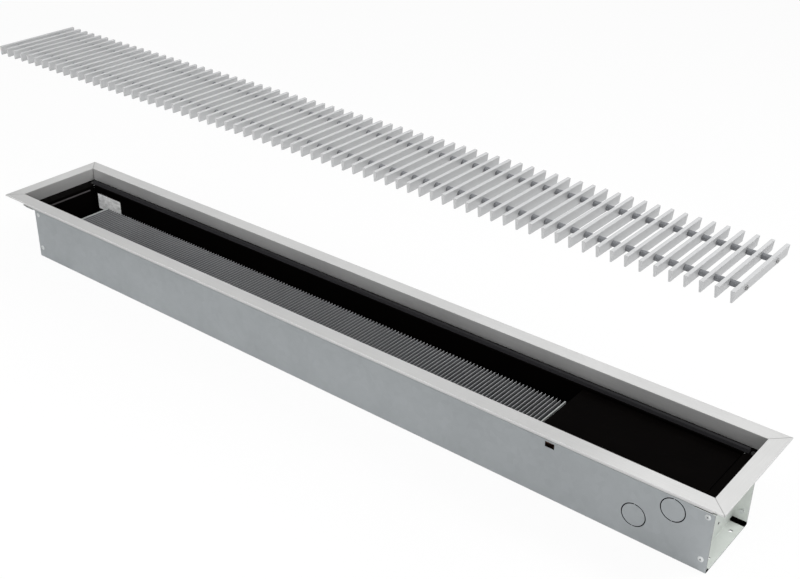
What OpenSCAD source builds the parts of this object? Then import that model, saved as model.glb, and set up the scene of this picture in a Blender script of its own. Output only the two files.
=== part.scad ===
// Trench convector heater: a floor trough with a trim frame, a finned copper and aluminium
// exchanger and a grille of cross bars, which is drawn lifted clear above its seat.
// The origin is on the underside, at the middle. +X runs along the trough to the end where
// the pipes come in, -Y is the side of the pipe entries, +Z is up.

/* [Frame] */
// Length over the trim frame
frame_l = 1250; // [1000:1:2000]
// Width over the trim frame
frame_w = 180; // [172:1:260]
// Height from the underside of the trough to the top of the frame
total_h = 117; // [110:1:180]
// Width of the frame's top flange
flange_w = 21; // [18:0.5:24]
// Thickness of the frame's top flange
flange_t = 2; // [1.5:0.1:3]
// Height of the frame's profile, over flange and leg
rail_h = 20; // [19.5:0.5:24]
// Thickness of the frame's leg
leg_t = 1.5; // [1:0.1:2.5]
// Radius on the outer top edge of the flange
flange_edge_r = 0.6; // [0.2:0.1:1]
// Open joint at each mitre, measured along the rail
mitre_gap = 0.3; // [0.05:0.05:0.4]

/* [Trough] */
// How far the frame stands out past the ends of the side walls
end_overhang = 22; // [21:0.5:26]
// How far the frame stands out past the outer face of the side walls
side_overhang = 35; // [33:0.5:38]
// Thickness of the trough's and the end plates' sheet
sheet_t = 1; // [0.8:0.1:1.5]
// Radius of the folds, on the sheet's middle line
bend_r = 1; // [0.8:0.1:1.5]
// Depth of the open recess outside each end plate
end_recess = 18; // [16:0.5:24]
// How far the side ledges run past the frame's leg
ledge_reach = 0.5; // [0.2:0.1:2]
// How far the end ledges run past the frame's leg
end_ledge_reach = 4; // [2:0.5:8]

/* [Pipe entries] */
// Diameter of the wall's knockout holes
knockout_d = 32; // [24:1:34]
// Width of the slit round each knockout
knockout_slit = 1.4; // [0.4:0.1:1.8]
// Width of the two nibs that hold each knockout
nib_w = 1; // [0.8:0.1:4]
// Knockout nearer the exchanger, back from the inner face of the end plate
low_entry_x = 76; // [70:1:90]
// Height of that knockout's centre
low_entry_z = 34.5; // [30:0.5:40]
// Knockout nearer the end plate, back from the end plate's inner face
high_entry_x = 30; // [26:1:34]
// Height of that knockout's centre
high_entry_z = 65.5; // [60:0.5:68]
// Length of the small slot in the entry wall
slot_l = 13; // [8:0.5:16]
// Height of the small slot
slot_h = 7.5; // [5:0.5:9]
// Slot's centre, back from the end plate's inner face
slot_x = 193; // [180:1:200]
// Slot's centre below the ledge
slot_drop = 19.5; // [18:0.5:22]

/* [Grille] */
// Height of a grille bar
bar_h = 13; // [11:0.5:14]
// Width of a bar's top
bar_top_t = 4.6; // [3.5:0.1:6]
// Width of a bar's foot
bar_foot_t = 1.8; // [1.2:0.1:2.5]
// Least distance from bar to bar, before the bars are spread over the length
bar_pitch = 16.8; // [14:0.1:22]
// Space between the outermost bar and the frame's end leg
grille_end_gap = 5; // [4.5:0.1:8]
// Space between a bar's end and the frame's side leg
grille_side_gap = 1.25; // [0.8:0.05:2]
// Diameter of the two rods through the bars
rod_d = 4; // [3:0.1:5]
// Distance from the middle of the grille to each rod
rod_offset = 38; // [25:0.5:45]
// Height of the rods above the feet of the bars
rod_rise = 5.5; // [4.2:0.1:7]
// Outer diameter of the spacers on the rods
spacer_d = 7; // [6:0.1:8.4]
// Height to which the grille is drawn lifted
lift_h = 245.2; // [100:0.1:300]
// Sideways shift of the lifted grille, towards the plain end
lift_shift = 12.5; // [0:0.5:14]

/* [Damping strips] */
// Width of the strip that the bar ends lie on
strip_w = 5; // [4:0.5:7]
// Thickness of the strip
strip_t = 5; // [3:0.5:6]
// Space between the strip and the frame's leg
strip_inset = 8.5; // [5:0.5:9]

/* [Exchanger] */
// Width of a fin, across the trough
fin_w = 75; // [60:1:80]
// Height of a fin
fin_h = 50; // [40:1:52]
// Thickness of a fin
fin_t = 0.4; // [0.3:0.05:0.6]
// Least distance from fin to fin, before the fins are spread over the length
fin_pitch = 5.5; // [4:0.1:8]
// Underside of the fins above the underside of the trough
fin_base_z = 33; // [28:0.5:38]
// Space between the fins and the entry wall
fin_wall_gap = 7; // [4:0.5:12]
// Length left free for the return bend, inside the plain end plate
return_space = 66; // [60:1:90]
// Length left free for the connections, inside the other end plate
connection_space = 222; // [215:1:260]
// Outer diameter of the tubes
tube_d = 15; // [12:0.5:16]
// Wall of the tubes
tube_wall = 1; // [0.7:0.1:1.2]
// Distance between the two tubes
tube_pitch = 37.5; // [34:0.5:42]

/* [Exchanger brackets] */
// Thickness of the brackets' sheet
bracket_t = 1.5; // [1:0.1:2]
// Length of a bracket's foot on the floor
foot_l = 20; // [16:0.5:24]
// Distance between the two studs of a foot
stud_pitch = 50; // [40:1:56]
// Diameter of the welded studs
stud_d = 5; // [4:0.5:6]

/* [Connections] */
// Width across the flats of the sockets
socket_af = 25; // [23:0.5:27]
// Length of a socket
socket_l = 26; // [24:0.5:32]
// Inner diameter of the female thread, at its crests
thread_d = 18.6; // [17:0.1:19]
// Depth of the female thread
thread_l = 15; // [12:0.5:16]
// Diameter of the vent boss
boss_d = 10; // [8:0.5:12]
// Height of the vent boss above the socket's flat
boss_h = 10; // [8:0.5:11]
// Diameter of the vent screw's shank
vent_d = 5; // [4:0.1:6]
// Length of the vent screw's shank
vent_l = 8; // [6:0.5:8]
// Diameter of the vent screw's head
vent_head_d = 8; // [7:0.5:10]
// Height of the vent screw's head
vent_head_h = 3.5; // [2.5:0.1:4]

/* [Cover over the connections] */
// Space between the exchanger and the cover
cover_start = 8; // [4:0.5:14]
// Cover's top below the ledge
cover_drop = 4.4; // [3:0.1:6]
// Depth of the cover's folded edges
cover_edge_h = 10; // [6:0.5:12]
// Space between the cover and the side walls
cover_side_gap = 0.5; // [0.3:0.1:1]
// Width of the rails under the cover
rail_w = 10; // [8:0.5:14]
// Depth of the rails on the wall
rail_depth = 9; // [7:0.5:10]

/* [Fasteners] */
// Diameter of the blind rivets' shanks
rivet_d = 4; // [3:0.1:4.5]
// Diameter of the blind rivets' heads
rivet_head_d = 7.5; // [6:0.1:8.5]
// Diameter of the ledge screws' shanks
ledge_screw_d = 3.5; // [3:0.1:4]
// Diameter of the ledge screws' heads
ledge_screw_head_d = 7; // [5.5:0.1:7.5]
// Diameter of the holes for the floor anchors
anchor_d = 5.5; // [4.5:0.1:8]
// Distance of the floor anchors from the side walls' outer faces
anchor_inset = 25; // [14:1:36]

/* [Hidden] */

// Shared clearances, and how far cutting shapes run past what they cut
seat_gap = 0.3;
slip_gap = 0.05;
cut_over = 1;

// Round shapes: small fasteners, then tubes and larger rounds
$fn = 32;
fine_fn = 64;
bend_steps = 5;

// Places of the sheet faces and of the frame
wall_out_y = frame_w / 2 - side_overhang;
wall_in_y = wall_out_y - sheet_t;
wall_end_x = frame_l / 2 - end_overhang;
end_out_x = wall_end_x - end_recess;
end_in_x = end_out_x - sheet_t;
slit_w = 1;
ledge_z = total_h - rail_h;
leg_in_x = frame_l / 2 - flange_w;
leg_in_y = frame_w / 2 - flange_w;
ledge_out_y = leg_in_y + leg_t + ledge_reach;
ledge_out_x = leg_in_x + leg_t + end_ledge_reach;

// Cut-away lower corners of an end plate, and the bead pressed into its face
corner_relief_h = 4;
corner_relief_w = 7.5;
side_flange_top_gap = 4;
flange_fit = 0.1;
bead_r = 1.6;
bead_drop = 6;
bead_margin = 9;

// Small hole for the earth lead, low in each end plate
lead_hole_d = 4;
lead_hole_y = 11;
lead_hole_z = 20.5;

// Rivets and screws of the casing
rivet_shift = 1;
rivet_x = (wall_end_x + end_out_x) / 2 + rivet_shift;
rivet_low_z = 17.5;
rivet_high_z = 77;
rivet_head_h = 1.3;
rivet_tail_share = 1.45;
rivet_tail_d = rivet_d * rivet_tail_share;
rivet_tail_h = 1.8;
rivet_bore_share = 0.55;
rivet_bore_d = rivet_d * rivet_bore_share;
ledge_screw_shift = 3.5;
ledge_screw_x = (wall_end_x + end_out_x) / 2;
ledge_screw_y = wall_out_y + ledge_screw_shift;
ledge_screw_head_h = 1.3;
ledge_screw_l = 6;
head_top_share = 0.8;
recess_l_share = 0.66;
recess_w_share = 0.11;
recess_depth_share = 0.67;
strip_end_gap = 1.5;
anchor_x = (wall_end_x + end_out_x) / 2;
anchor_y = wall_out_y - anchor_inset;

// Corner angles of the frame
angle_l = 25;
angle_h = 11;
angle_t = 1.5;
angle_drop = 3;

// Bars, rods and spacers of the grille
bars_l = 2 * (leg_in_x - grille_end_gap);
bar_count = floor((bars_l - bar_top_t) / bar_pitch) + 1;
bar_step = (bars_l - bar_top_t) / (bar_count - 1);
bar_l = 2 * (leg_in_y - grille_side_gap);
bar_seat_z = ledge_z + strip_t + seat_gap;
bar_edge_r = 0.5;
spacer_l = bar_step - bar_width_at(rod_rise + spacer_d / 2) - 2 * slip_gap;
end_screw_head_d = 5.4;
end_screw_head_h = 1.3;
end_screw_key_d = 2.4;
end_screw_key_depth = 0.9;
end_screw_l = 9;
end_screw_d = 2.6;

// Exchanger: its ends, the lines of the tubes and the spread of the fins
pack_x0 = -end_in_x + return_space;
pack_x1 = end_in_x - connection_space;
pack_y0 = -wall_in_y + fin_wall_gap;
pack_y = pack_y0 + fin_w / 2;
tube_z = fin_base_z + fin_h / 2;
tube_ys = [pack_y - tube_pitch / 2, pack_y + tube_pitch / 2];
fin_run = pack_x1 - pack_x0 - 2 * bracket_t - 2 * seat_gap - fin_t;
fin_count = floor(fin_run / fin_pitch) + 1;
fin_step = fin_run / (fin_count - 1);
fin_x0 = pack_x0 + bracket_t + seat_gap;
collar_wall = 0.4;
collar_l = fin_step - fin_t - seat_gap;
tube_out_left = 10;
bend_collar_l = 8;
bend_collar_wall = 1;
socket_start = 44;
tube_out_right = socket_start + bend_collar_l;
tube_stop = 2;

// Bracket feet, with studs welded to the floor
stud_l = 9;
washer_d = stud_d * 2;
washer_t = 1;
nut_af = stud_d * 1.6;
nut_h = stud_d * 0.8;
bracket_lip = 1;

// Sockets and vent
socket_x0 = pack_x1 + socket_start;
socket_x1 = socket_x0 + socket_l;
vent_x = socket_x0 + bend_collar_l + boss_d / 2 - tube_stop;
boss_top_z = tube_z + socket_af / 2 + boss_h;
vent_seat_room = 1.5;
vent_bore_l = vent_l + vent_seat_room;
vent_port_d = 1.6;
vent_slot_w = 1.2;
vent_slot_depth = 1.4;
tip_h = 1.5;

// Cover and its rails
cover_x0 = pack_x1 + cover_start;
cover_x1 = end_in_x - bead_r - 2 * seat_gap;
cover_z = ledge_z - cover_drop;
cover_half_y = wall_in_y - cover_side_gap;
cover_end_gap = 6;

// Direction from v, turned left by a quarter turn
function left_of(v) = [-v[1], v[0]];
function unit(v) = v / norm(v);
function turned(v, a) = [v[0] * cos(a) - v[1] * sin(a), v[0] * sin(a) + v[1] * cos(a)];

// Stations along a fold: the corner b between a and c, rounded to r, as [point, direction]
function fold(a, b, c, r) =
    let (d1 = unit(b - a), d2 = unit(c - b))
    let (turn = atan2(d1[0] * d2[1] - d1[1] * d2[0], d1 * d2))
    let (side = turn > 0 ? 1 : -1, reach = r * tan(abs(turn) / 2))
    let (start = b - d1 * reach, centre = start + left_of(d1) * side * r)
    [for (i = [0:bend_steps])
        let (angle = turn * i / bend_steps)
        [centre + turned(start - centre, angle), turned(d1, angle)]];

// Stations along a whole folded path
function stations(path, r) =
    let (last = len(path) - 1)
    concat(
        [[path[0], unit(path[1] - path[0])]],
        [for (k = [1:last - 1]) each fold(path[k - 1], path[k], path[k + 1], r)],
        [[path[last], unit(path[last] - path[last - 1])]]);

// Outline of sheet of thickness t, folded along the path of its middle line
module folded_sheet(path, t, r) {
    line = stations(path, r);
    count = len(line);
    polygon(concat(
        [for (s = line) s[0] + left_of(s[1]) * t / 2],
        [for (k = [1:count]) line[count - k][0] - left_of(line[count - k][1]) * t / 2]));
}

// Extrudes an outline drawn in Y and Z along X, from x0 to x1
module along_x(x0, x1) {
    translate([x0, 0, 0])
        rotate([90, 0, 90])
            linear_extrude(x1 - x0)
                children();
}

// Extrudes an outline drawn in X and Z along Y, from y0 to y1
module along_y(y0, y1) {
    translate([0, y1, 0])
        rotate([90, 0, 0])
            linear_extrude(y1 - y0)
                children();
}

// Box between two opposite corners
module block(low, high) {
    translate(low)
        cube(high - low);
}

// Upright round bar, and the same lying along X or Y
module rod_z(x, y, z0, z1, d, fn = $fn) {
    translate([x, y, z0])
        cylinder(h = z1 - z0, d = d, $fn = fn);
}

module rod_x(y, z, x0, x1, d, fn = $fn) {
    translate([x0, y, z])
        rotate([0, 90, 0])
            cylinder(h = x1 - x0, d = d, $fn = fn);
}

module rod_y(x, z, y0, y1, d, fn = $fn) {
    translate([x, y1, z])
        rotate([90, 0, 0])
            cylinder(h = y1 - y0, d = d, $fn = fn);
}

// Repeats its children at both ends, or on both sides
module both_ends() {
    children();
    mirror([1, 0, 0])
        children();
}

module both_sides() {
    children();
    mirror([0, 1, 0])
        children();
}

// Middle line of the trough's sheet, with its ledges at the given height
function trough_path(top) =
    let (y = wall_out_y - sheet_t / 2, low = sheet_t / 2, high = top - sheet_t / 2)
    [[-ledge_out_y, high], [-y, high], [-y, low], [y, low], [y, high], [ledge_out_y, high]];

module trough_blank() {
    along_x(-end_in_x, end_in_x)
        folded_sheet(trough_path(ledge_z), sheet_t, bend_r);
    both_ends()
        along_x(end_in_x, wall_end_x)
            folded_sheet(trough_path(ledge_z - sheet_t), sheet_t, bend_r);
}

// Places the two knockouts as [x, z]
entries = [[end_in_x - low_entry_x, low_entry_z], [end_in_x - high_entry_x, high_entry_z]];

// Slits that part the long ledges from the lowered tabs at their ends
module ledge_slits() {
    both_ends()
        both_sides()
            block([end_in_x, wall_out_y, ledge_z - 2 * sheet_t - cut_over],
                [end_in_x + slit_w, ledge_out_y + cut_over, ledge_z + cut_over]);
}

module rivet_holes() {
    both_ends()
        both_sides()
            for (z = [rivet_low_z, rivet_high_z])
                rod_y(rivet_x, z, wall_in_y - 2 * sheet_t - cut_over, wall_out_y + cut_over,
                    rivet_d + 2 * slip_gap);
}

module ledge_screw_holes() {
    both_ends()
        both_sides()
            rod_z(ledge_screw_x, ledge_screw_y, ledge_z - 2 * sheet_t - cut_over, ledge_z + cut_over,
                ledge_screw_d + 2 * slip_gap);
}

module anchor_holes() {
    both_ends()
        both_sides()
            rod_z(anchor_x, anchor_y, -cut_over, 2 * sheet_t + cut_over, anchor_d);
}

module trough() {
    slot_mid = [end_in_x - slot_x, ledge_z - slot_drop];
    color("darkgray")
        difference() {
            trough_blank();
            for (e = entries)
                rod_y(e[0], e[1], -wall_out_y - cut_over, -wall_in_y + cut_over, knockout_d, fine_fn);
            block([slot_mid[0] - slot_l / 2, -wall_out_y - cut_over, slot_mid[1] - slot_h / 2],
                [slot_mid[0] + slot_l / 2, -wall_in_y + cut_over, slot_mid[1] + slot_h / 2]);
            ledge_slits();
            rivet_holes();
            ledge_screw_holes();
            anchor_holes();
        }
}

// Knockout: the wall's own disc inside its slit, held by two nibs
module knockout(x, z) {
    intersection() {
        rod_y(x, z, -wall_out_y, -wall_in_y, knockout_d, fine_fn);
        union() {
            rod_y(x, z, -wall_out_y, -wall_in_y, knockout_d - 2 * knockout_slit, fine_fn);
            block([x - nib_w / 2, -wall_out_y, z - knockout_d / 2],
                [x + nib_w / 2, -wall_in_y, z + knockout_d / 2]);
        }
    }
}

module pipe_knockouts() {
    color("darkgray")
        for (e = entries)
            knockout(e[0], e[1]);
}

// End plate as a shallow pan: its top flange is the end ledge, the others are fixed to the trough
module end_plate() {
    mid_x = end_out_x - sheet_t / 2;
    side_y = wall_in_y - flange_fit - sheet_t / 2;
    flat_y = side_y - bend_r;
    web_path = [[wall_end_x, 1.5 * sheet_t], [mid_x, 1.5 * sheet_t],
        [mid_x, ledge_z - sheet_t / 2], [ledge_out_x, ledge_z - sheet_t / 2]];
    side_path = [[wall_end_x, -side_y], [mid_x, -side_y], [mid_x, side_y], [wall_end_x, side_y]];
    difference() {
        union() {
            along_y(-flat_y, flat_y)
                folded_sheet(web_path, sheet_t, bend_r);
            translate([0, 0, corner_relief_h + sheet_t])
                linear_extrude(ledge_z - side_flange_top_gap - corner_relief_h - sheet_t)
                    folded_sheet(side_path, sheet_t, bend_r);
            block([end_in_x + bend_r + sheet_t, -ledge_out_y, ledge_z - sheet_t],
                [ledge_out_x, ledge_out_y, ledge_z]);
            both_sides()
                block([end_in_x + flange_fit, wall_in_y, ledge_z - sheet_t],
                    [ledge_out_x, ledge_out_y, ledge_z]);
            rod_y(end_in_x, ledge_z - bead_drop, -flat_y + bead_margin, flat_y - bead_margin, 2 * bead_r);
        }
        block([end_out_x, -flat_y, ledge_z - bead_drop - bead_r],
            [end_out_x + bead_r, flat_y, ledge_z - bead_drop + bead_r]);
        rod_y(end_out_x, ledge_z - bead_drop, -flat_y + bead_margin + bead_r,
            flat_y - bead_margin - bead_r, bead_r);
        both_sides()
            block([end_in_x - cut_over, wall_in_y - corner_relief_w, 0],
                [wall_end_x + cut_over, wall_in_y + cut_over, corner_relief_h + sheet_t]);
        rod_x(lead_hole_y, lead_hole_z, end_in_x - cut_over, end_out_x + cut_over, lead_hole_d);
    }
}

module end_plate_right() {
    color("silver")
        difference() {
            end_plate();
            rivet_holes();
            ledge_screw_holes();
            anchor_holes();
        }
}

module end_plate_left() {
    mirror([1, 0, 0])
        end_plate_right();
}

// Blind rivet along -Y, with its head on the plane y = 0 and its tail past the two sheets
module blind_rivet() {
    grip = 2 * sheet_t + flange_fit;
    rotate([90, 0, 0])
        difference() {
            union() {
                intersection() {
                    translate([0, 0, rivet_head_h - rivet_head_d])
                        sphere(d = 2 * rivet_head_d, $fn = fine_fn);
                    cylinder(h = rivet_head_h, d = rivet_head_d);
                }
                translate([0, 0, -grip - rivet_tail_h])
                    cylinder(h = grip + rivet_tail_h, d = rivet_d);
                translate([0, 0, -grip - rivet_tail_h])
                    cylinder(h = rivet_tail_h, d = rivet_tail_d);
            }
            translate([0, 0, -sheet_t])
                cylinder(h = sheet_t + rivet_head_h + cut_over, d = rivet_bore_d);
        }
}

module end_rivets() {
    color("gainsboro")
        both_ends()
            both_sides()
                for (z = [rivet_low_z, rivet_high_z])
                    translate([rivet_x, -wall_out_y, z])
                        blind_rivet();
}

// Low pan head with a cross recess, on the end ledge
module ledge_screw() {
    recess_l = ledge_screw_head_d * recess_l_share;
    recess_w = ledge_screw_head_d * recess_w_share;
    recess_z = ledge_screw_head_h * (1 - recess_depth_share);
    difference() {
        union() {
            cylinder(h = ledge_screw_head_h, d1 = ledge_screw_head_d,
                d2 = ledge_screw_head_d * head_top_share);
            translate([0, 0, -ledge_screw_l])
                cylinder(h = ledge_screw_l, d = ledge_screw_d);
        }
        for (a = [0, 90])
            rotate([0, 0, a])
                block([-recess_l / 2, -recess_w / 2, recess_z],
                    [recess_l / 2, recess_w / 2, ledge_screw_head_h + cut_over]);
    }
}

module ledge_screws() {
    color("gainsboro")
        both_ends()
            both_sides()
                translate([ledge_screw_x, ledge_screw_y, ledge_z])
                    ledge_screw();
}

// Profile of the frame: flange to the outside, leg down at the inside; x = 0 at the leg's inner face
module rail_profile() {
    difference() {
        union() {
            translate([0, total_h - rail_h])
                square([leg_t, rail_h]);
            translate([0, total_h - flange_t])
                square([flange_w, flange_t]);
        }
        translate([flange_w - flange_edge_r, total_h - flange_edge_r])
            difference() {
                square(flange_edge_r + cut_over);
                circle(r = flange_edge_r);
            }
    }
}

// Straight rail along X for a frame side of the given outer length, mitred at both ends
module mitred_rail(outer_l) {
    reach = flange_w + cut_over;
    difference() {
        along_x(-outer_l / 2, outer_l / 2)
            rail_profile();
        both_ends()
            translate([outer_l / 2 - flange_w - mitre_gap / 2, 0, total_h - rail_h - cut_over])
                linear_extrude(rail_h + 2 * cut_over)
                    polygon([[-cut_over, -cut_over], [reach, reach], [reach, -cut_over]]);
    }
}

module frame_rail_back() {
    color("whitesmoke")
        translate([0, leg_in_y, 0])
            mitred_rail(frame_l);
}

module frame_rail_front() {
    mirror([0, 1, 0])
        frame_rail_back();
}

module frame_rail_left() {
    color("whitesmoke")
        translate([-leg_in_x, 0, 0])
            rotate([0, 0, 90])
                mitred_rail(frame_w);
}

module frame_rail_right() {
    mirror([1, 0, 0])
        frame_rail_left();
}

// Angles that join the rails, outside the legs and clear of the flanges' underside
module frame_corner_angles() {
    x = leg_in_x + leg_t + slip_gap;
    y = leg_in_y + leg_t + slip_gap;
    color("silver")
        both_ends()
            both_sides()
                translate([0, 0, total_h - flange_t - angle_drop - angle_h])
                    linear_extrude(angle_h)
                        difference() {
                            translate([x + angle_t - angle_l, y + angle_t - angle_l])
                                square(angle_l);
                            translate([x - angle_l, y - angle_l])
                                square(angle_l);
                        }
}

module damping_strip_back() {
    outer_y = leg_in_y - strip_inset;
    end_x = ledge_screw_x - ledge_screw_head_d / 2 - strip_end_gap;
    color("dimgray")
        block([-end_x, outer_y - strip_w, ledge_z], [end_x, outer_y, ledge_z + strip_t]);
}

module damping_strip_front() {
    mirror([0, 1, 0])
        damping_strip_back();
}

// One fin, with a collar round each tube of the given length, which keeps it off the next fin
module fin(x, reach) {
    translate([x, 0, 0]) {
        along_x(0, fin_t)
            difference() {
                translate([pack_y0, fin_base_z])
                    square([fin_w, fin_h]);
                for (y = tube_ys)
                    translate([y, tube_z])
                        circle(d = tube_d + 2 * slip_gap, $fn = fine_fn);
            }
        if (reach > 0)
            along_x(fin_t, fin_t + reach)
                for (y = tube_ys)
                    translate([y, tube_z])
                        difference() {
                            circle(d = tube_d + 2 * slip_gap + 2 * collar_wall, $fn = fine_fn);
                            circle(d = tube_d + 2 * slip_gap, $fn = fine_fn);
                        }
    }
}

module fins() {
    color("lightgray")
        for (i = [0:fin_count - 1])
            fin(fin_x0 + i * fin_step, i < fin_count - 1 ? collar_l : 0);
}

module copper_tubes() {
    color("peru")
        for (y = tube_ys)
            along_x(pack_x0 - tube_out_left, pack_x1 + tube_out_right)
                translate([y, tube_z])
                    difference() {
                        circle(d = tube_d, $fn = fine_fn);
                        circle(d = tube_d - 2 * tube_wall, $fn = fine_fn);
                    }
}

// Return bend with a widened collar over each tube end
module return_bend() {
    collar_x1 = pack_x0 - tube_out_left + bend_collar_l;
    turn_x = pack_x0 - tube_out_left - slip_gap;
    color("peru") {
        for (y = tube_ys)
            along_x(turn_x, collar_x1)
                translate([y, tube_z])
                    difference() {
                        circle(d = tube_d + 2 * bend_collar_wall, $fn = fine_fn);
                        circle(d = tube_d + 2 * slip_gap, $fn = fine_fn);
                    }
        translate([turn_x, pack_y, tube_z])
            rotate([0, 0, 90])
                rotate_extrude(angle = 180, $fn = fine_fn)
                    translate([tube_pitch / 2, 0])
                        difference() {
                            circle(d = tube_d + 2 * bend_collar_wall, $fn = fine_fn);
                            circle(d = tube_d - 2 * tube_wall, $fn = fine_fn);
                        }
    }
}

stud_ys = [pack_y - stud_pitch / 2, pack_y + stud_pitch / 2];

// End sheet of the exchanger, standing on a folded foot, with a small lip along its top
module exchanger_bracket() {
    x = pack_x1 - bracket_t / 2;
    foot_z = sheet_t + bracket_t / 2;
    top_z = fin_base_z + fin_h + bracket_lip;
    color("lightgray")
        difference() {
            along_y(pack_y0, pack_y0 + fin_w)
                folded_sheet([[x, top_z], [x, foot_z], [pack_x1 + foot_l, foot_z]], bracket_t,
                    bend_r + bracket_t / 2);
            for (y = tube_ys)
                rod_x(y, tube_z, x - bracket_t - cut_over, x + bracket_t + cut_over,
                    tube_d + 2 * slip_gap, fine_fn);
            for (y = stud_ys)
                rod_z(pack_x1 + foot_l / 2, y, sheet_t - cut_over, foot_z + bracket_t,
                    stud_d + 4 * slip_gap);
        }
}

module bracket_right() {
    exchanger_bracket();
}

module bracket_left() {
    translate([pack_x0 + pack_x1, 0, 0])
        mirror([1, 0, 0])
            exchanger_bracket();
}

// Repeats its children at the four studs
module at_studs(z) {
    for (x = [pack_x0 - foot_l / 2, pack_x1 + foot_l / 2])
        for (y = stud_ys)
            translate([x, y, z])
                children();
}

module bracket_studs() {
    color("silver")
        at_studs(sheet_t)
            cylinder(h = stud_l, d = stud_d);
}

module bracket_washers() {
    color("silver")
        at_studs(sheet_t + bracket_t)
            difference() {
                cylinder(h = washer_t, d = washer_d);
                translate([0, 0, -cut_over])
                    cylinder(h = washer_t + 2 * cut_over, d = stud_d + 2 * slip_gap);
            }
}

module bracket_nuts() {
    color("silver")
        at_studs(sheet_t + bracket_t + washer_t)
            difference() {
                cylinder(h = nut_h, d = nut_af / cos(30), $fn = 6);
                translate([0, 0, -cut_over])
                    cylinder(h = nut_h + 2 * cut_over, d = stud_d + 2 * slip_gap);
            }
}

// Hexagonal socket: pocket for the copper tube on one side, female thread on the other
module socket_body(y) {
    rod_x(y, tube_z, socket_x0, socket_x1, socket_af / cos(30), 6);
}

module socket_bores(y) {
    rod_x(y, tube_z, socket_x0 - cut_over, socket_x0 + bend_collar_l, tube_d + 2 * slip_gap, fine_fn);
    rod_x(y, tube_z, socket_x0, socket_x1, tube_d - 2 * tube_wall, fine_fn);
    rod_x(y, tube_z, socket_x1 - thread_l, socket_x1 + cut_over, thread_d, fine_fn);
}

module flow_socket() {
    color("goldenrod")
        difference() {
            socket_body(tube_ys[0]);
            socket_bores(tube_ys[0]);
        }
}

// The return socket also carries the boss of the vent screw
module return_socket() {
    y = tube_ys[1];
    color("goldenrod")
        difference() {
            union() {
                socket_body(y);
                rod_z(vent_x, y, tube_z + thread_d / 2, boss_top_z, boss_d);
            }
            socket_bores(y);
            rod_z(vent_x, y, boss_top_z - vent_bore_l, boss_top_z + cut_over, vent_d + 2 * slip_gap);
            rod_z(vent_x, y, tube_z, boss_top_z - vent_l, vent_port_d);
        }
}

// Slotted vent screw with a pointed seat at its tip
module vent_screw() {
    y = tube_ys[1];
    head_z = boss_top_z + seat_gap;
    color("gold")
        difference() {
            union() {
                rod_z(vent_x, y, head_z, head_z + vent_head_h, vent_head_d);
                rod_z(vent_x, y, head_z - vent_l + tip_h, head_z, vent_d);
                translate([vent_x, y, head_z - vent_l])
                    cylinder(h = tip_h, d1 = vent_d / 2, d2 = vent_d);
            }
            block([vent_x - vent_slot_w / 2, y - vent_head_d, head_z + vent_head_h - vent_slot_depth],
                [vent_x + vent_slot_w / 2, y + vent_head_d, head_z + vent_head_h + cut_over]);
        }
}

// Angles on both side walls, on which the cover lies
module cover_rails() {
    rail_z = cover_z - sheet_t - sheet_t / 2;
    wall_y = wall_in_y - sheet_t / 2;
    color("dimgray")
        both_sides()
            along_x(cover_x0 + cover_end_gap, cover_x1 - cover_end_gap)
                folded_sheet([[wall_in_y - rail_w, rail_z], [wall_y, rail_z],
                    [wall_y, rail_z + sheet_t / 2 - rail_depth]], sheet_t, bend_r);
}

module connection_cover() {
    mid_z = cover_z - sheet_t / 2 + seat_gap;
    edge_z = cover_z - cover_edge_h;
    color("black")
        along_y(-cover_half_y, cover_half_y)
            folded_sheet([[cover_x0 + sheet_t / 2, edge_z], [cover_x0 + sheet_t / 2, mid_z],
                [cover_x1 - sheet_t / 2, mid_z], [cover_x1 - sheet_t / 2, edge_z]], sheet_t, bend_r);
}

// Width of a bar at a height above its foot
function bar_width_at(z) = bar_foot_t + (bar_top_t - bar_foot_t) * z / bar_h;

// Wedge-shaped section of a bar, in X and Z, with its top edges broken
module bar_section() {
    top = bar_top_t / 2;
    foot = bar_foot_t / 2;
    polygon([[-foot, 0], [foot, 0], [top, bar_h - bar_edge_r], [top - bar_edge_r, bar_h],
        [bar_edge_r - top, bar_h], [-top, bar_h - bar_edge_r]]);
}

// Puts the grille where it is drawn: lifted off its seat
module lifted() {
    translate([-lift_shift, 0, bar_seat_z + lift_h])
        children();
}

function bar_x(i) = (i - (bar_count - 1) / 2) * bar_step;

module grille_bars() {
    color("gainsboro")
        lifted()
            for (i = [0:bar_count - 1])
                translate([bar_x(i), 0, 0])
                    difference() {
                        along_y(-bar_l / 2, bar_l / 2)
                            bar_section();
                        for (y = [-rod_offset, rod_offset])
                            rod_x(y, rod_rise, -bar_top_t, bar_top_t, rod_d + 2 * slip_gap);
                    }
}

// Rods as long as the row of bars is thick at their height, tapped for a screw at each end
module grille_rods() {
    half_l = bar_x(bar_count - 1) + bar_width_at(rod_rise - rod_d / 2) / 2 - slip_gap;
    color("silver")
        lifted()
            for (y = [-rod_offset, rod_offset])
                difference() {
                    rod_x(y, rod_rise, -half_l, half_l, rod_d);
                    both_ends()
                        rod_x(y, rod_rise, half_l - end_screw_l, half_l + cut_over,
                            end_screw_d + 2 * slip_gap);
                }
}

// Spacer tubes on both rods, one between each two bars
module grille_spacers() {
    color("gray")
        lifted()
            for (i = [0:bar_count - 2])
                for (y = [-rod_offset, rod_offset])
                    along_x(bar_x(i) + (bar_step - spacer_l) / 2, bar_x(i) + (bar_step + spacer_l) / 2)
                        translate([y, rod_rise])
                            difference() {
                                circle(d = spacer_d);
                                circle(d = rod_d + 2 * slip_gap);
                            }
}

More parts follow.
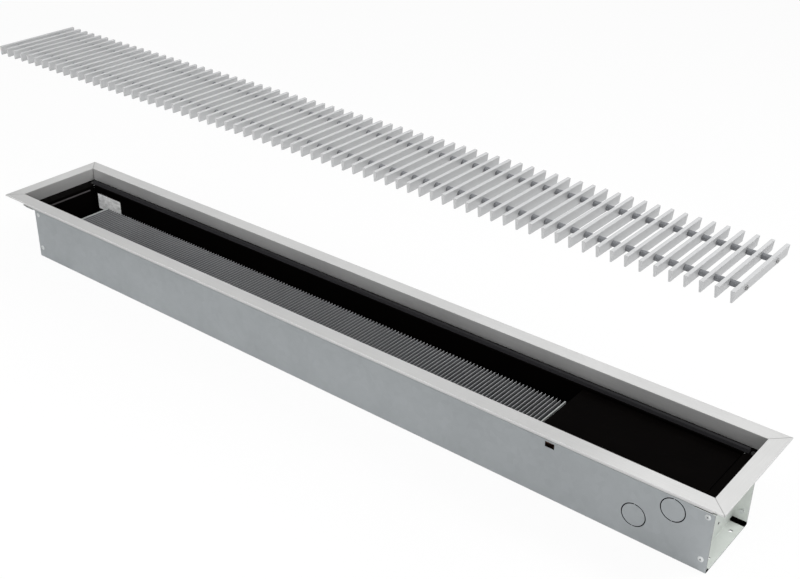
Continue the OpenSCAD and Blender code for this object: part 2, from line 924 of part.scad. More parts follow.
// Screws in the rods' ends, with a hexagonal key socket
module grille_end_screws() {
    face_x = bar_x(bar_count - 1) + bar_width_at(rod_rise + end_screw_head_d / 2) / 2 + slip_gap;
    rod_end_x = bar_x(bar_count - 1) + bar_width_at(rod_rise - rod_d / 2) / 2;
    color("dimgray")
        lifted()
            both_ends()
                for (y = [-rod_offset, rod_offset])
                    difference() {
                        union() {
                            rod_x(y, rod_rise, face_x, face_x + end_screw_head_h, end_screw_head_d);
                            rod_x(y, rod_rise, rod_end_x - end_screw_l + cut_over, face_x, end_screw_d);
                        }
                        rod_x(y, rod_rise, face_x + end_screw_head_h - end_screw_key_depth,
                            face_x + end_screw_head_h + cut_over, end_screw_key_d, 6);
                    }
}

trough();
end_plate_left();
end_plate_right();
end_rivets();
ledge_screws();
pipe_knockouts();
frame_rail_front();
frame_rail_back();
frame_rail_left();
frame_rail_right();
frame_corner_angles();
damping_strip_front();
damping_strip_back();
fins();
copper_tubes();
return_bend();
bracket_left();
bracket_right();
bracket_studs();
bracket_washers();
bracket_nuts();
flow_socket();
return_socket();
vent_screw();
cover_rails();
connection_cover();
grille_bars();
grille_rods();
grille_spacers();
grille_end_screws();
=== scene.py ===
"""Looks of the trench convector heater: finishes, one sticker, light and camera round the CAD frame."""
import math

import bmesh
import bpy
from mathutils import Matrix, Vector


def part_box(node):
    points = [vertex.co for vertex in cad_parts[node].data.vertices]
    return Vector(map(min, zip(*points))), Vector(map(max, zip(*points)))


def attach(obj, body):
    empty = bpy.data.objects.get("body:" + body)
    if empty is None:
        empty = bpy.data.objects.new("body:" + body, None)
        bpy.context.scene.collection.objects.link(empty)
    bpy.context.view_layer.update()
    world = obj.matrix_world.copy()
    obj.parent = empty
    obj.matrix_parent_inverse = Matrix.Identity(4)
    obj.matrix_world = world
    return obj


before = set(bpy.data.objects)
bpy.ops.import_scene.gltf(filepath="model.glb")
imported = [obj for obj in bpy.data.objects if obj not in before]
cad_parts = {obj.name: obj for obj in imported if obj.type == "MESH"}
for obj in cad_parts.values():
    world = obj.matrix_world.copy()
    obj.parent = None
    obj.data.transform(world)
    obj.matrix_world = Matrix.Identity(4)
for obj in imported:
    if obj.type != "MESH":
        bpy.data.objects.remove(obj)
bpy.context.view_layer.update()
MM = 0.001

# Sizes of the CAD part that the boxes of its nodes don't show
SHEET = 1 * MM
BEAD_R = 1.6 * MM
SIDE_OVERHANG = 35 * MM
FLANGE_T = 2 * MM
FLANGE_REACH = 19.5 * MM
PIPE_BORE_R = 9.3 * MM

# Faces of the CAD nodes
LEDGE_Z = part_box("trough")[1][2]
END_FACE_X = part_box("end_plate_right")[0][0]
FRAME_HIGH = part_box("frame_rail_back")[1]
RETURN_LOW, RETURN_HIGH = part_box("return_socket")
FLOW_LOW, FLOW_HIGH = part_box("flow_socket")
FIN_TOP_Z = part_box("fins")[1][2]
STRIP_TOP_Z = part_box("damping_strip_back")[1][2]
BAR_LOW_Z, BAR_HIGH_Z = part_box("grille_bars")[0][2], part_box("grille_bars")[1][2]
WALL_OUT_Y = FRAME_HIGH[1] - SIDE_OVERHANG
WALL_MID_Y = WALL_OUT_Y - SHEET / 2
WALL_IN_Y = WALL_OUT_Y - SHEET
LEDGE_MID_Z = LEDGE_Z - SHEET / 2
END_WEB_MID_X = END_FACE_X + BEAD_R + SHEET / 2
LEG_OUT_X = FRAME_HIGH[0] - FLANGE_REACH
LEG_OUT_Y = FRAME_HIGH[1] - FLANGE_REACH
FLANGE_MID_Z = FRAME_HIGH[2] - FLANGE_T / 2

# Finish of the casing and its sticker
GALVANISED = (0.378, 0.398, 0.41)
GALVANISED_METALLIC = 0.4
# The end plates' galvanised sheet, painted lighter than the trough's to stand in for the strong light in the
# end recesses
END_SHEET_PAINTED_LIGHT = (0.68, 0.71, 0.68)
END_SHEET_METALLIC = 0.2
BLACK = (0.0016, 0.0013, 0.0012)
PAINT_GLOSS = 0.01
# Painted highlight on the crest of the end plates' bead, and the width of that band
BEAD_PAINTED_HIGHLIGHT = (0.075, 0.07, 0.072)
BEAD_HIGHLIGHT_BAND = 0.9 * MM
RIVET = (0.70, 0.72, 0.72)
RIVET_STAIN = (0.52, 0.54, 0.54)
LEDGE_SCREW = (0.06, 0.06, 0.06)
LEDGE_SCREW_STAIN = (0.03, 0.03, 0.03)
PAPER_DARK = (0.66, 0.67, 0.67)
PAPER_PALE = (0.94, 0.95, 0.95)

# Finish of the frame and the strips
SATIN = (0.59, 0.59, 0.585)
FLANGE_METALLIC = 0.08
FLANGE_GLOSS = 0.25
FLANGE_ROUGHNESS = 0.5
LEG_METALLIC = 0.52
LEG_ROUGHNESS = 0.4
SEAM_SHARE = 0.66
SEAM_CORE = 0.3 * MM
SEAM_FADE = 1.2 * MM
ZINC = (0.72, 0.73, 0.74)
ZINC_STAIN = (0.55, 0.56, 0.55)
STRIP = (0.034, 0.033, 0.036)
STRIP_GLOSS = 0.1
# Darker colour of the strips' top face, and the depth of that band
STRIP_TOP_COLOUR = (0.018, 0.0175, 0.019)
STRIP_TOP_BAND = 0.4 * MM

# Finish of the coil and its connections
FIN = (0.38, 0.39, 0.405)
# Painted shade: the colour the fins darken to deep between them
FIN_PAINTED_SHADE = (0.12, 0.122, 0.125)
# Bright sheared top edge of the fins, partly a painted highlight, and the depth of that band
FIN_CUT_EDGE_AND_HIGHLIGHT = (0.78, 0.79, 0.80)
FIN_EDGE_BAND = 0.3 * MM
FIN_SHADE_DEPTH = 5 * MM
BRACKET = (0.55, 0.57, 0.56)
# Copper darkened well below bright copper, partly tarnish and partly painted shade of the dark connection
# box
COPPER = (0.34, 0.18, 0.12)
COPPER_STAIN = (0.14, 0.08, 0.06)
BRASS = (0.75, 0.58, 0.30)
NICKEL = (0.68, 0.65, 0.58)
NICKEL_STAIN = (0.5, 0.46, 0.36)
THREAD_PITCH = 1.814 * MM
THREAD_DEPTH = 0.6 * MM

# Finish of the grille
GRILLE = (0.50, 0.505, 0.51)
# Lighter colour of the bars' top and bottom faces and edges, a painted highlight on the tops
GRILLE_FACE_HIGHLIGHT = (0.53, 0.535, 0.54)
BAR_EDGE_BAND = 0.35 * MM
ROD = (0.5, 0.51, 0.52)
SPACER = (0.17, 0.175, 0.185)
END_SCREW = (0.42, 0.42, 0.42)
END_SCREW_STAIN = (0.3, 0.3, 0.3)

# Scales of the textures, in features per metre
ZINC_CELLS = 110
STAINS = 14
PATCHES = 45
SHEET_SKIN = 900
PAINT_SKIN = 1400
GRAIN = 1500
SMUDGES = 9
FIN_SMUDGES = 12
DUST = 30
ORANGE_PEEL = 700
RUBBER_SKIN = 1800
RUBBER_PATCHES = 60
TARNISH = 70
SPECKLE = 700
BRASS_SPECKLE = 500
BRASS_PATCHES = 90
PAPER_MOTTLE = 140
PAPER_WAVES = 60

# Sticker, in the plane of the far inner wall
STICKER_LEFT, STICKER_RIGHT = -578 * MM, -520 * MM
STICKER_LOW, STICKER_HIGH = 57 * MM, 84 * MM
STICKER_CORNER_R = 1.5 * MM
STICKER_FILM = 0.12 * MM

# Camera, solved from the photograph's perspective
EYE = Vector((954.3, -1061.5, 913.1)) * MM
LOOK = Vector((-0.5419, 0.6880, -0.4827))
RIGHTWARD = Vector((0.7806, 0.6249, 0.0144))
LENS = 53.19
SENSOR = 36

# Stage
FLOOR_SPAN = 30
FLOOR_DROP = 0.2 * MM
FLOOR_GREY = (0.86, 0.86, 0.86)
FLOOR_WHITE_SHARE = 0.93
SURROUND = 0.45


# Node helpers

def new_material(name, base, metallic, roughness, gloss=0.5):
    """A Principled material, and its node tree and shader."""
    material = bpy.data.materials.new(name)
    material.use_nodes = True
    tree = material.node_tree
    shader = tree.nodes["Principled BSDF"]
    shader.inputs["Specular IOR Level"].default_value = gloss
    shader.inputs["Base Color"].default_value = (*base, 1)
    shader.inputs["Metallic"].default_value = metallic
    shader.inputs["Roughness"].default_value = roughness
    return material, tree, shader


def add(tree, kind, **settings):
    """A new node with the given properties."""
    node = tree.nodes.new(kind)
    for key, value in settings.items():
        setattr(node, key, value)
    return node


def math_node(tree, operation, *values):
    """Output of a math node; each value is a number or a socket."""
    node = add(tree, "ShaderNodeMath", operation=operation)
    for socket, value in zip(node.inputs, values):
        if isinstance(value, (int, float)):
            socket.default_value = value
        else:
            tree.links.new(value, socket)
    return node.outputs[0]


def times(tree, a, b):
    """Product of two numbers or sockets."""
    return math_node(tree, "MULTIPLY", a, b)


def plus(tree, a, b):
    """Sum of two numbers or sockets."""
    return math_node(tree, "ADD", a, b)


def along(tree, axis):
    """Place of the shaded point along "X", "Y" or "Z" in the row frame, in metres."""
    coords = add(tree, "ShaderNodeTexCoord")
    split = add(tree, "ShaderNodeSeparateXYZ")
    tree.links.new(coords.outputs["Object"], split.inputs[0])
    return split.outputs[axis]


def aside(tree, axis):
    """Distance of the shaded point from the middle of the part along an axis."""
    return math_node(tree, "ABSOLUTE", along(tree, axis))


def noise(tree, scale, stretch=(1, 1, 1), detail=4.0):
    """Noise of the given scale per metre, finer along the axes with a larger stretch."""
    coords = add(tree, "ShaderNodeTexCoord")
    mapping = add(tree, "ShaderNodeMapping")
    mapping.inputs["Scale"].default_value = stretch
    texture = add(tree, "ShaderNodeTexNoise")
    texture.inputs["Scale"].default_value = scale
    texture.inputs["Detail"].default_value = detail
    texture.inputs["Roughness"].default_value = 0.55
    tree.links.new(coords.outputs["Object"], mapping.inputs["Vector"])
    tree.links.new(mapping.outputs["Vector"], texture.inputs["Vector"])
    return texture.outputs["Fac"]


def ranged(tree, value, low, high, from_low=0.3, from_high=0.7):
    """value, stretched from one range to another."""
    node = add(tree, "ShaderNodeMapRange")
    node.inputs["From Min"].default_value = from_low
    node.inputs["From Max"].default_value = from_high
    node.inputs["To Min"].default_value = low
    node.inputs["To Max"].default_value = high
    tree.links.new(value, node.inputs["Value"])
    return node.outputs["Result"]


def mixed(tree, factor, a, b):
    """Colour between a and b; each is a colour or a socket."""
    node = add(tree, "ShaderNodeMix", data_type="RGBA")
    tree.links.new(factor, node.inputs["Factor"])
    for socket, value in ((node.inputs[6], a), (node.inputs[7], b)):
        if isinstance(value, tuple):
            socket.default_value = (*value, 1)
        else:
            tree.links.new(value, socket)
    return node.outputs[2]


def tint(base, share):
    """The colour base made lighter or darker by a share."""
    return tuple(min(1.0, channel * share) for channel in base)


def shaded(tree, factor, base, darker, lighter):
    """The colour base, between a darker and a lighter share of itself."""
    return mixed(tree, factor, tint(base, darker), tint(base, lighter))


def drive(tree, shader, name, value):
    """Links a socket to one of the shader's inputs."""
    tree.links.new(value, shader.inputs[name])


def bump(tree, shader, height, depth, strength, after=None):
    """Adds a bump of the given depth in metres to the shader, over an earlier one."""
    node = add(tree, "ShaderNodeBump")
    node.inputs["Strength"].default_value = strength
    node.inputs["Distance"].default_value = depth
    tree.links.new(height, node.inputs["Height"])
    if after is not None:
        tree.links.new(after, node.inputs["Normal"])
    tree.links.new(node.outputs["Normal"], shader.inputs["Normal"])
    return node.outputs["Normal"]


def drawn_surface(tree, axis, smudges=SMUDGES):
    """Grain along axis 0, 1 or 2, the smudges over it, and the factor that both give a colour."""
    stretch = [1.0, 1.0, 1.0]
    stretch[axis] = 0.02
    grain = noise(tree, GRAIN, stretch, detail=3)
    smudge = noise(tree, smudges, detail=5)
    tone = plus(tree, times(tree, grain, 0.5), times(tree, smudge, 0.5))
    return grain, smudge, ranged(tree, tone, 0, 1, 0.35, 0.65)


# Places on the part, as masks

def trough_inside(tree):
    """1 on the inner faces of the walls and floor and on top of the ledges."""
    between_walls = math_node(tree, "LESS_THAN", aside(tree, "Y"), WALL_MID_Y)
    above_floor = math_node(tree, "GREATER_THAN", along(tree, "Z"), SHEET / 2)
    on_top = math_node(tree, "GREATER_THAN", along(tree, "Z"), LEDGE_MID_Z)
    within_frame = math_node(tree, "LESS_THAN", aside(tree, "Y"), LEG_OUT_Y)
    inside = times(tree, between_walls, above_floor)
    return math_node(tree, "MAXIMUM", inside, times(tree, on_top, within_frame))


def end_plate_inside(tree):
    """1 on the face towards the coil and on top of the end ledge."""
    towards_coil = math_node(tree, "LESS_THAN", aside(tree, "X"), END_WEB_MID_X)
    on_top = math_node(tree, "GREATER_THAN", along(tree, "Z"), LEDGE_MID_Z)
    within_frame = math_node(tree, "LESS_THAN", aside(tree, "X"), LEG_OUT_X)
    return math_node(tree, "MAXIMUM", towards_coil, times(tree, on_top, within_frame))


def bead_crest(tree):
    """1 on the crest of the bead that is pressed into the end plate."""
    return math_node(tree, "LESS_THAN", aside(tree, "X"), END_FACE_X + BEAD_HIGHLIGHT_BAND)


def mitre_seam(tree):
    """Near 1 along the mitres of the frame, where dirt gathers in the joint."""
    from_end = math_node(tree, "SUBTRACT", FRAME_HIGH[0], aside(tree, "X"))
    from_side = math_node(tree, "SUBTRACT", FRAME_HIGH[1], aside(tree, "Y"))
    away = math_node(tree, "ABSOLUTE", math_node(tree, "SUBTRACT", from_end, from_side))
    return ranged(tree, away, 1, 0, SEAM_CORE, SEAM_FADE)


def strip_top(tree):
    """1 on top of the damping strips."""
    return math_node(tree, "GREATER_THAN", along(tree, "Z"), STRIP_TOP_Z - STRIP_TOP_BAND)


def bar_edges(tree):
    """1 along the top and bottom edges of the grille's bars."""
    middle = (BAR_LOW_Z + BAR_HIGH_Z) / 2
    from_middle = math_node(tree, "ABSOLUTE", math_node(tree, "SUBTRACT", along(tree, "Z"), middle))
    return math_node(tree, "GREATER_THAN", from_middle, BAR_HIGH_Z - middle - BAR_EDGE_BAND)


def inside_bore(tree, axis_y, axis_z):
    """1 within the thread of a socket whose axis runs along X."""
    across = math_node(tree, "SUBTRACT", along(tree, "Y"), axis_y)
    rise = math_node(tree, "SUBTRACT", along(tree, "Z"), axis_z)
    squares = plus(tree, times(tree, across, across), times(tree, rise, rise))
    reach = PIPE_BORE_R + 0.1 * MM
    return math_node(tree, "LESS_THAN", math_node(tree, "SQRT", squares), reach)


# Finishes

def galvanised_colour(tree, base):
    """Colour of galvanised sheet, soft cells of zinc under cloudy stains, and the cells' height."""
    coords = add(tree, "ShaderNodeTexCoord")
    cells = add(tree, "ShaderNodeTexVoronoi")
    cells.inputs["Scale"].default_value = ZINC_CELLS
    tree.links.new(coords.outputs["Object"], cells.inputs["Vector"])
    grey = add(tree, "ShaderNodeRGBToBW")
    tree.links.new(cells.outputs["Color"], grey.inputs[0])
    blend = plus(tree, times(tree, grey.outputs[0], 0.25), noise(tree, STAINS, detail=5))
    colour = shaded(tree, ranged(tree, blend, 0, 1, 0.35, 0.95), base, 0.93, 1.07)
    return colour, cells.outputs["Distance"]


def galvanised(name, base, roughness):
    """Galvanised sheet that is bare on all sides."""
    material, tree, shader = new_material(name, base, metallic=0.5, roughness=roughness)
    colour, cells = galvanised_colour(tree, base)
    drive(tree, shader, "Base Color", colour)
    patches = noise(tree, PATCHES)
    drive(tree, shader, "Roughness", ranged(tree, patches, roughness - 0.06, roughness + 0.08))
    first = bump(tree, shader, cells, depth=0.02 * MM, strength=0.4)
    bump(tree, shader, noise(tree, SHEET_SKIN), depth=0.03 * MM, strength=0.35, after=first)
    return material


def casing_sheet(name, inside, base, metallic, painted_highlight=None):
    """Galvanised sheet, painted black where inside(tree) is 1, and a lighter grey, a painted highlight,
    where the last mask given is 1.
    """
    material, tree, shader = new_material(name, base, metallic=metallic, roughness=0.42, gloss=PAINT_GLOSS)
    zinc, cells = galvanised_colour(tree, base)
    mask = inside(tree)
    # Painted highlight: a lighter grey where the black paint on the bead's crest would catch light.
    paint = BLACK if painted_highlight is None else mixed(tree, painted_highlight(tree), BLACK, BEAD_PAINTED_HIGHLIGHT)
    drive(tree, shader, "Base Color", mixed(tree, mask, zinc, paint))
    bare = math_node(tree, "SUBTRACT", 1.0, mask)
    drive(tree, shader, "Metallic", times(tree, bare, metallic))
    patches = ranged(tree, noise(tree, PATCHES), 0.36, 0.5)
    drive(tree, shader, "Roughness", plus(tree, patches, times(tree, mask, 0.12)))
    first = bump(tree, shader, cells, depth=0.02 * MM, strength=0.4)
    bump(tree, shader, noise(tree, PAINT_SKIN), depth=0.04 * MM, strength=0.4, after=first)
    return material


def frame_rail(name, axis):
    """Satin rail: dull on the flange, smoother on the leg below it, darker along the mitres."""
    material, tree, shader = new_material(name, SATIN, metallic=FLANGE_METALLIC,
                                          roughness=FLANGE_ROUGHNESS, gloss=FLANGE_GLOSS)
    grain, smudge, tone = drawn_surface(tree, axis)
    clean = shaded(tree, tone, SATIN, 0.95, 1.05)
    drive(tree, shader, "Base Color", mixed(tree, mitre_seam(tree), clean, tint(SATIN, SEAM_SHARE)))
    on_leg = math_node(tree, "LESS_THAN", along(tree, "Z"), FLANGE_MID_Z)
    more_metal = times(tree, on_leg, LEG_METALLIC - FLANGE_METALLIC)
    drive(tree, shader, "Metallic", plus(tree, more_metal, FLANGE_METALLIC))
    dull = ranged(tree, smudge, FLANGE_ROUGHNESS - 0.05, FLANGE_ROUGHNESS + 0.07)
    smoother = times(tree, on_leg, LEG_ROUGHNESS - FLANGE_ROUGHNESS)
    drive(tree, shader, "Roughness", plus(tree, dull, smoother))
    bump(tree, shader, grain, depth=0.012 * MM, strength=0.5)
    return material


def grille_bar(name):
    """Satin anodised bar, lighter on its top and bottom faces and along their ground edges, which on the
    tops is a painted highlight.
    """
    material, tree, shader = new_material(name, GRILLE, metallic=0.1, roughness=0.45, gloss=0.25)
    grain, smudge, tone = drawn_surface(tree, 1)
    side = shaded(tree, tone, GRILLE, 0.95, 1.05)
    # Painted highlight: the top faces and edges of the bars are lighter than their sides.
    drive(tree, shader, "Base Color", mixed(tree, bar_edges(tree), side, GRILLE_FACE_HIGHLIGHT))
    drive(tree, shader, "Roughness", ranged(tree, smudge, 0.37, 0.49))
    bump(tree, shader, grain, depth=0.012 * MM, strength=0.5)
    return material


def drawn_rod(name):
    """Drawn rod with its grain along X."""
    material, tree, shader = new_material(name, ROD, metallic=0.5, roughness=0.3)
    grain, smudge, tone = drawn_surface(tree, 0)
    drive(tree, shader, "Base Color", shaded(tree, tone, ROD, 0.95, 1.05))
    drive(tree, shader, "Roughness", ranged(tree, smudge, 0.25, 0.37))
    bump(tree, shader, grain, depth=0.012 * MM, strength=0.5)
    return material


def fin_sheet(name):
    """Thin mill-finish sheet, darkened by painted shade down between the fins, and lighter along its sheared
    top edge, which is partly a painted highlight.
    """
    material, tree, shader = new_material(name, FIN, metallic=0.5, roughness=0.38)
    grain, smudge, tone = drawn_surface(tree, 2, FIN_SMUDGES)
    # Painted shade: the colour darkens from the fins' top edge down to FIN_SHADE_DEPTH.
    near_top = ranged(tree, along(tree, "Z"), 0, 1, FIN_TOP_Z - FIN_SHADE_DEPTH, FIN_TOP_Z)
    sheet = mixed(tree, near_top, FIN_PAINTED_SHADE, shaded(tree, tone, FIN, 0.85, 1.15))
    # Painted highlight along the fins' top edge, which is also their bright sheared edge.
    edge = math_node(tree, "GREATER_THAN", along(tree, "Z"), FIN_TOP_Z - FIN_EDGE_BAND)
    drive(tree, shader, "Base Color", mixed(tree, edge, sheet, FIN_CUT_EDGE_AND_HIGHLIGHT))
    drive(tree, shader, "Roughness", ranged(tree, smudge, 0.33, 0.48))
    bump(tree, shader, grain, depth=0.02 * MM, strength=0.5)
    return material


def painted(name):
    """Black powder coat with a fine orange peel."""
    material, tree, shader = new_material(name, BLACK, metallic=0.0, roughness=0.32, gloss=PAINT_GLOSS)
    dust = noise(tree, DUST, detail=6)
    drive(tree, shader, "Base Color", shaded(tree, ranged(tree, dust, 0, 1), BLACK, 0.85, 1.15))
    drive(tree, shader, "Roughness", ranged(tree, dust, 0.28, 0.38))
    bump(tree, shader, noise(tree, ORANGE_PEEL, detail=2), depth=0.05 * MM, strength=0.4)
    return material


def elastomer(name, base, gloss, second_area=None, second_colour=None):
    """Matt elastomer with a fine skin, of a second colour where an optional mask is 1."""
    material, tree, shader = new_material(name, base, metallic=0.0, roughness=0.75, gloss=gloss)
    skin = noise(tree, RUBBER_SKIN, detail=3)
    colour = shaded(tree, ranged(tree, skin, 0, 1), base, 0.8, 1.25)
    if second_area is not None:
        colour = mixed(tree, second_area(tree), colour, second_colour)
    drive(tree, shader, "Base Color", colour)
    drive(tree, shader, "Roughness", ranged(tree, noise(tree, RUBBER_PATCHES), 0.68, 0.85))
    bump(tree, shader, skin, depth=0.08 * MM, strength=0.5)
    return material


def worn_metal(name, base, stain, roughness, share=0.12, metallic=1.0):
    """Plain metal, speckled by a share of its colour, with cloudy tarnish of a second colour."""
    material, tree, shader = new_material(name, base, metallic=metallic, roughness=roughness)
    clouds = noise(tree, TARNISH, detail=6)
    speckle = noise(tree, SPECKLE, detail=3)
    bright = shaded(tree, ranged(tree, speckle, 0, 1), base, 1 - share, 1 + share)
    tarnish = ranged(tree, clouds, 0, 1, 0.4, 0.75)
    drive(tree, shader, "Base Color", mixed(tree, tarnish, bright, stain))
    drive(tree, shader, "Roughness", ranged(tree, clouds, roughness - 0.05, roughness + 0.15))
    bump(tree, shader, speckle, depth=0.02 * MM, strength=0.4)
    return material


def threaded_brass(name):
    """Machined brass, with the turns of a pipe thread inside the sockets' mouths."""
    material, tree, shader = new_material(name, BRASS, metallic=1.0, roughness=0.28)
    speckle = noise(tree, BRASS_SPECKLE, detail=4)
    drive(tree, shader, "Base Color", shaded(tree, ranged(tree, speckle, 0, 1), BRASS, 0.85, 1.1))
    drive(tree, shader, "Roughness", ranged(tree, noise(tree, BRASS_PATCHES), 0.22, 0.4))
    flow_y = (FLOW_LOW[1] + FLOW_HIGH[1]) / 2
    return_y = (RETURN_LOW[1] + RETURN_HIGH[1]) / 2
    axis_z = (FLOW_LOW[2] + FLOW_HIGH[2]) / 2
    in_flow = inside_bore(tree, flow_y, axis_z)
    in_return = inside_bore(tree, return_y, axis_z)
    wave = math_node(tree, "SINE", times(tree, along(tree, "X"), 2 * math.pi / THREAD_PITCH))
    turns = times(tree, times(tree, wave, math_node(tree, "MAXIMUM", in_flow, in_return)), 0.5)
    first = bump(tree, shader, speckle, depth=0.02 * MM, strength=0.4)
    bump(tree, shader, turns, depth=THREAD_DEPTH, strength=0.8, after=first)
    return material


def sticker_paper(name):
    """Printless paper with a soft mottle."""
    material, tree, shader = new_material(name, PAPER_PALE, metallic=0.0, roughness=0.55)
    mottle = noise(tree, PAPER_MOTTLE, (1, 1, 1.8), detail=5)
    tone = ranged(tree, mottle, 0, 1, 0.38, 0.62)
    drive(tree, shader, "Base Color", mixed(tree, tone, PAPER_DARK, PAPER_PALE))
    drive(tree, shader, "Roughness", ranged(tree, mottle, 0.5, 0.65))
    bump(tree, shader, noise(tree, PAPER_WAVES), depth=0.08 * MM, strength=0.4)
    return material


def finish_cad():
    """Gives every CAD node its finish."""
    casing = casing_sheet("casing_sheet", trough_inside, GALVANISED, GALVANISED_METALLIC)
    # The end plates take the lighter copy of the galvanised colour, which is painted light.
    end_sheet = casing_sheet("end_sheet", end_plate_inside, END_SHEET_PAINTED_LIGHT, END_SHEET_METALLIC, bead_crest)
    satin_x = frame_rail("satin_aluminium_x", 0)
    satin_y = frame_rail("satin_aluminium_y", 1)
    zinc = worn_metal("bright_zinc", ZINC, ZINC_STAIN, roughness=0.28)
    strip = elastomer("strip_rubber", STRIP, STRIP_GLOSS, strip_top, STRIP_TOP_COLOUR)
    bracket = galvanised("bracket_sheet", BRACKET, roughness=0.38)
    copper = worn_metal("copper_tube", COPPER, COPPER_STAIN, roughness=0.36)
    brass = threaded_brass("machined_brass")
    black = painted("semi_gloss_black")
    finishes = {
        "trough": casing,
        "pipe_knockouts": casing,
        "end_plate_left": end_sheet,
        "end_plate_right": end_sheet,
        "end_rivets": worn_metal("rivet_steel", RIVET, RIVET_STAIN, roughness=0.38, share=0.1, metallic=0.4),
        "ledge_screws": worn_metal("dull_screw", LEDGE_SCREW, LEDGE_SCREW_STAIN, roughness=0.5),
        "frame_rail_front": satin_x,
        "frame_rail_back": satin_x,
        "frame_rail_left": satin_y,
        "frame_rail_right": satin_y,
        "frame_corner_angles": zinc,
        "damping_strip_front": strip,
        "damping_strip_back": strip,
        "fins": fin_sheet("fin_sheet"),
        "copper_tubes": copper,
        "return_bend": copper,
        "bracket_left": bracket,
        "bracket_right": bracket,
        "bracket_studs": zinc,
        "bracket_washers": zinc,
        "bracket_nuts": zinc,
        "flow_socket": brass,
        "return_socket": brass,
        "vent_screw": worn_metal("nickel_plate", NICKEL, NICKEL_STAIN, roughness=0.22),
        "cover_rails": black,
        "connection_cover": black,
        "grille_bars": grille_bar("grille_bar_aluminium"),
        "grille_rods": drawn_rod("drawn_rod"),
        "grille_spacers": elastomer("spacer_tube", SPACER, gloss=0.25),
        "grille_end_screws": worn_metal("zinc_screw", END_SCREW, END_SCREW_STAIN, roughness=0.4),
    }
    for name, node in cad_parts.items():
        for slot in node.material_slots:
            slot.material = finishes[name]


# Dressing

def rounded_outline(left, right, low, high, radius, steps=6):
    """Points of a rectangle with rounded corners, in X and Z, anticlockwise from its right side."""
    centres = ((right - radius, high - radius), (left + radius, high - radius),
               (left + radius, low + radius), (right - radius, low + radius))
    points = []
    for turn, (x, z) in enumerate(centres):
        for step in range(steps + 1):
            angle = math.pi / 2 * (turn + step / steps)
            points.append((x + radius * math.cos(angle), z + radius * math.sin(angle)))
    return points


def film_mesh(name, outline, back_y, thickness):
    """Closed mesh of a film that lies on the plane y = back_y."""
    shape = bmesh.new()
    back = [shape.verts.new((x, back_y, z)) for x, z in outline]
    front = [shape.verts.new((x, back_y - thickness, z)) for x, z in outline]
    shape.faces.new(back)
    shape.faces.new(reversed(front))
    for index in range(len(outline)):
        after = (index + 1) % len(outline)
        shape.faces.new((back[index], front[index], front[after], back[after]))
    bmesh.ops.recalc_face_normals(shape, faces=shape.faces)
    mesh = bpy.data.meshes.new(name)
    shape.to_mesh(mesh)
    shape.free()
    return mesh


def sticker():
    """Plain data sticker without print, on the far inner wall beside the return bend."""
    outline = rounded_outline(STICKER_LEFT, STICKER_RIGHT, STICKER_LOW, STICKER_HIGH, STICKER_CORNER_R)
    mesh = film_mesh("blank_sticker", outline, WALL_IN_Y, STICKER_FILM)
    piece = bpy.data.objects.new("blank_sticker", mesh)
    bpy.context.collection.objects.link(piece)
    mesh.materials.append(sticker_paper("sticker_paper"))
    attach(piece, "casing")


# Stage

def camera():
    """The photograph's viewpoint."""
    view = LOOK.normalized()
    right = (RIGHTWARD - view * RIGHTWARD.dot(view)).normalized()
    up = right.cross(view)
    data = bpy.data.cameras.new("camera")
    data.sensor_width = SENSOR
    data.lens = LENS
    data.clip_start = 0.01
    data.clip_end = 50
    eye_matrix = Matrix((right, up, -view)).transposed().to_4x4()
    eye_matrix.translation = EYE
    piece = bpy.data.objects.new("camera", data)
    piece.matrix_world = eye_matrix
    bpy.context.collection.objects.link(piece)
    bpy.context.scene.camera = piece


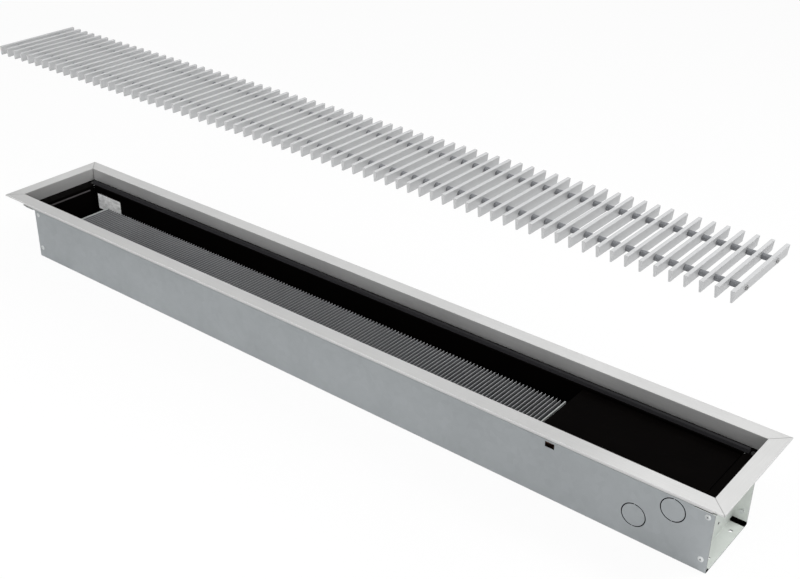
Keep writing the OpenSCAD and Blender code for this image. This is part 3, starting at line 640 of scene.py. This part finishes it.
def floor():
    """Pale floor that keeps a soft shadow and looks nearly white to the camera."""
    bpy.ops.mesh.primitive_plane_add(size=FLOOR_SPAN, location=(0, 0, -FLOOR_DROP))
    ground = bpy.context.object
    ground.name = "floor"
    material = bpy.data.materials.new("pale_floor")
    material.use_nodes = True
    tree = material.node_tree
    tree.nodes.clear()
    output = add(tree, "ShaderNodeOutputMaterial")
    diffuse = add(tree, "ShaderNodeBsdfDiffuse")
    diffuse.inputs["Color"].default_value = (*FLOOR_GREY, 1)
    white = add(tree, "ShaderNodeEmission")
    path = add(tree, "ShaderNodeLightPath")
    blend = add(tree, "ShaderNodeMixShader")
    tree.links.new(times(tree, path.outputs["Is Camera Ray"], FLOOR_WHITE_SHARE), blend.inputs[0])
    tree.links.new(diffuse.outputs[0], blend.inputs[1])
    tree.links.new(white.outputs[0], blend.inputs[2])
    tree.links.new(blend.outputs[0], output.inputs[0])
    ground.data.materials.append(material)


def surround():
    """Even light from all round that looks white to the camera."""
    world = bpy.data.worlds.new("surround")
    bpy.context.scene.world = world
    world.use_nodes = True
    tree = world.node_tree
    background = tree.nodes["Background"]
    background.inputs["Color"].default_value = (1, 1, 1, 1)
    path = add(tree, "ShaderNodeLightPath")
    seen = math_node(tree, "MAXIMUM", path.outputs["Is Camera Ray"], path.outputs["Is Transmission Ray"])
    tree.links.new(plus(tree, times(tree, seen, 1 - SURROUND), SURROUND), background.inputs["Strength"])


def lamp(name, place, aim, size, power, spread=180):
    """Soft rectangular lamp at place that shines towards aim, in a beam of spread degrees."""
    data = bpy.data.lights.new(name, "AREA")
    data.spread = math.radians(spread)
    data.shape = "RECTANGLE"
    data.size, data.size_y = size
    data.energy = power
    piece = bpy.data.objects.new(name, data)
    piece.location = place
    piece.rotation_euler = (Vector(aim) - Vector(place)).to_track_quat("-Z", "Y").to_euler()
    bpy.context.collection.objects.link(piece)


def lights():
    """A wide lamp overhead, the main one at the right, one in front of the plain end, and a low one."""
    lamp("overhead", place=(-0.3, -1.2, 2.6), aim=(0, 0, 0), size=(2.6, 1.0), power=28)
    lamp("front", place=(0.1, -1.6, 1.0), aim=(-0.65, 0, 0.08), size=(1.2, 0.8), power=2.5, spread=80)
    lamp("low_front", place=(1.1, -1.5, 0.22), aim=(0.55, 0, 0.05), size=(0.8, 0.25), power=1.0, spread=90)
    lamp("right", place=(1.3, 0.65, 1.9), aim=(0.45, 0, 0.05), size=(0.9, 0.9), power=29)


finish_cad()
sticker()
camera()
floor()
surround()
lights()
bpy.context.scene.view_settings.view_transform = "Standard"
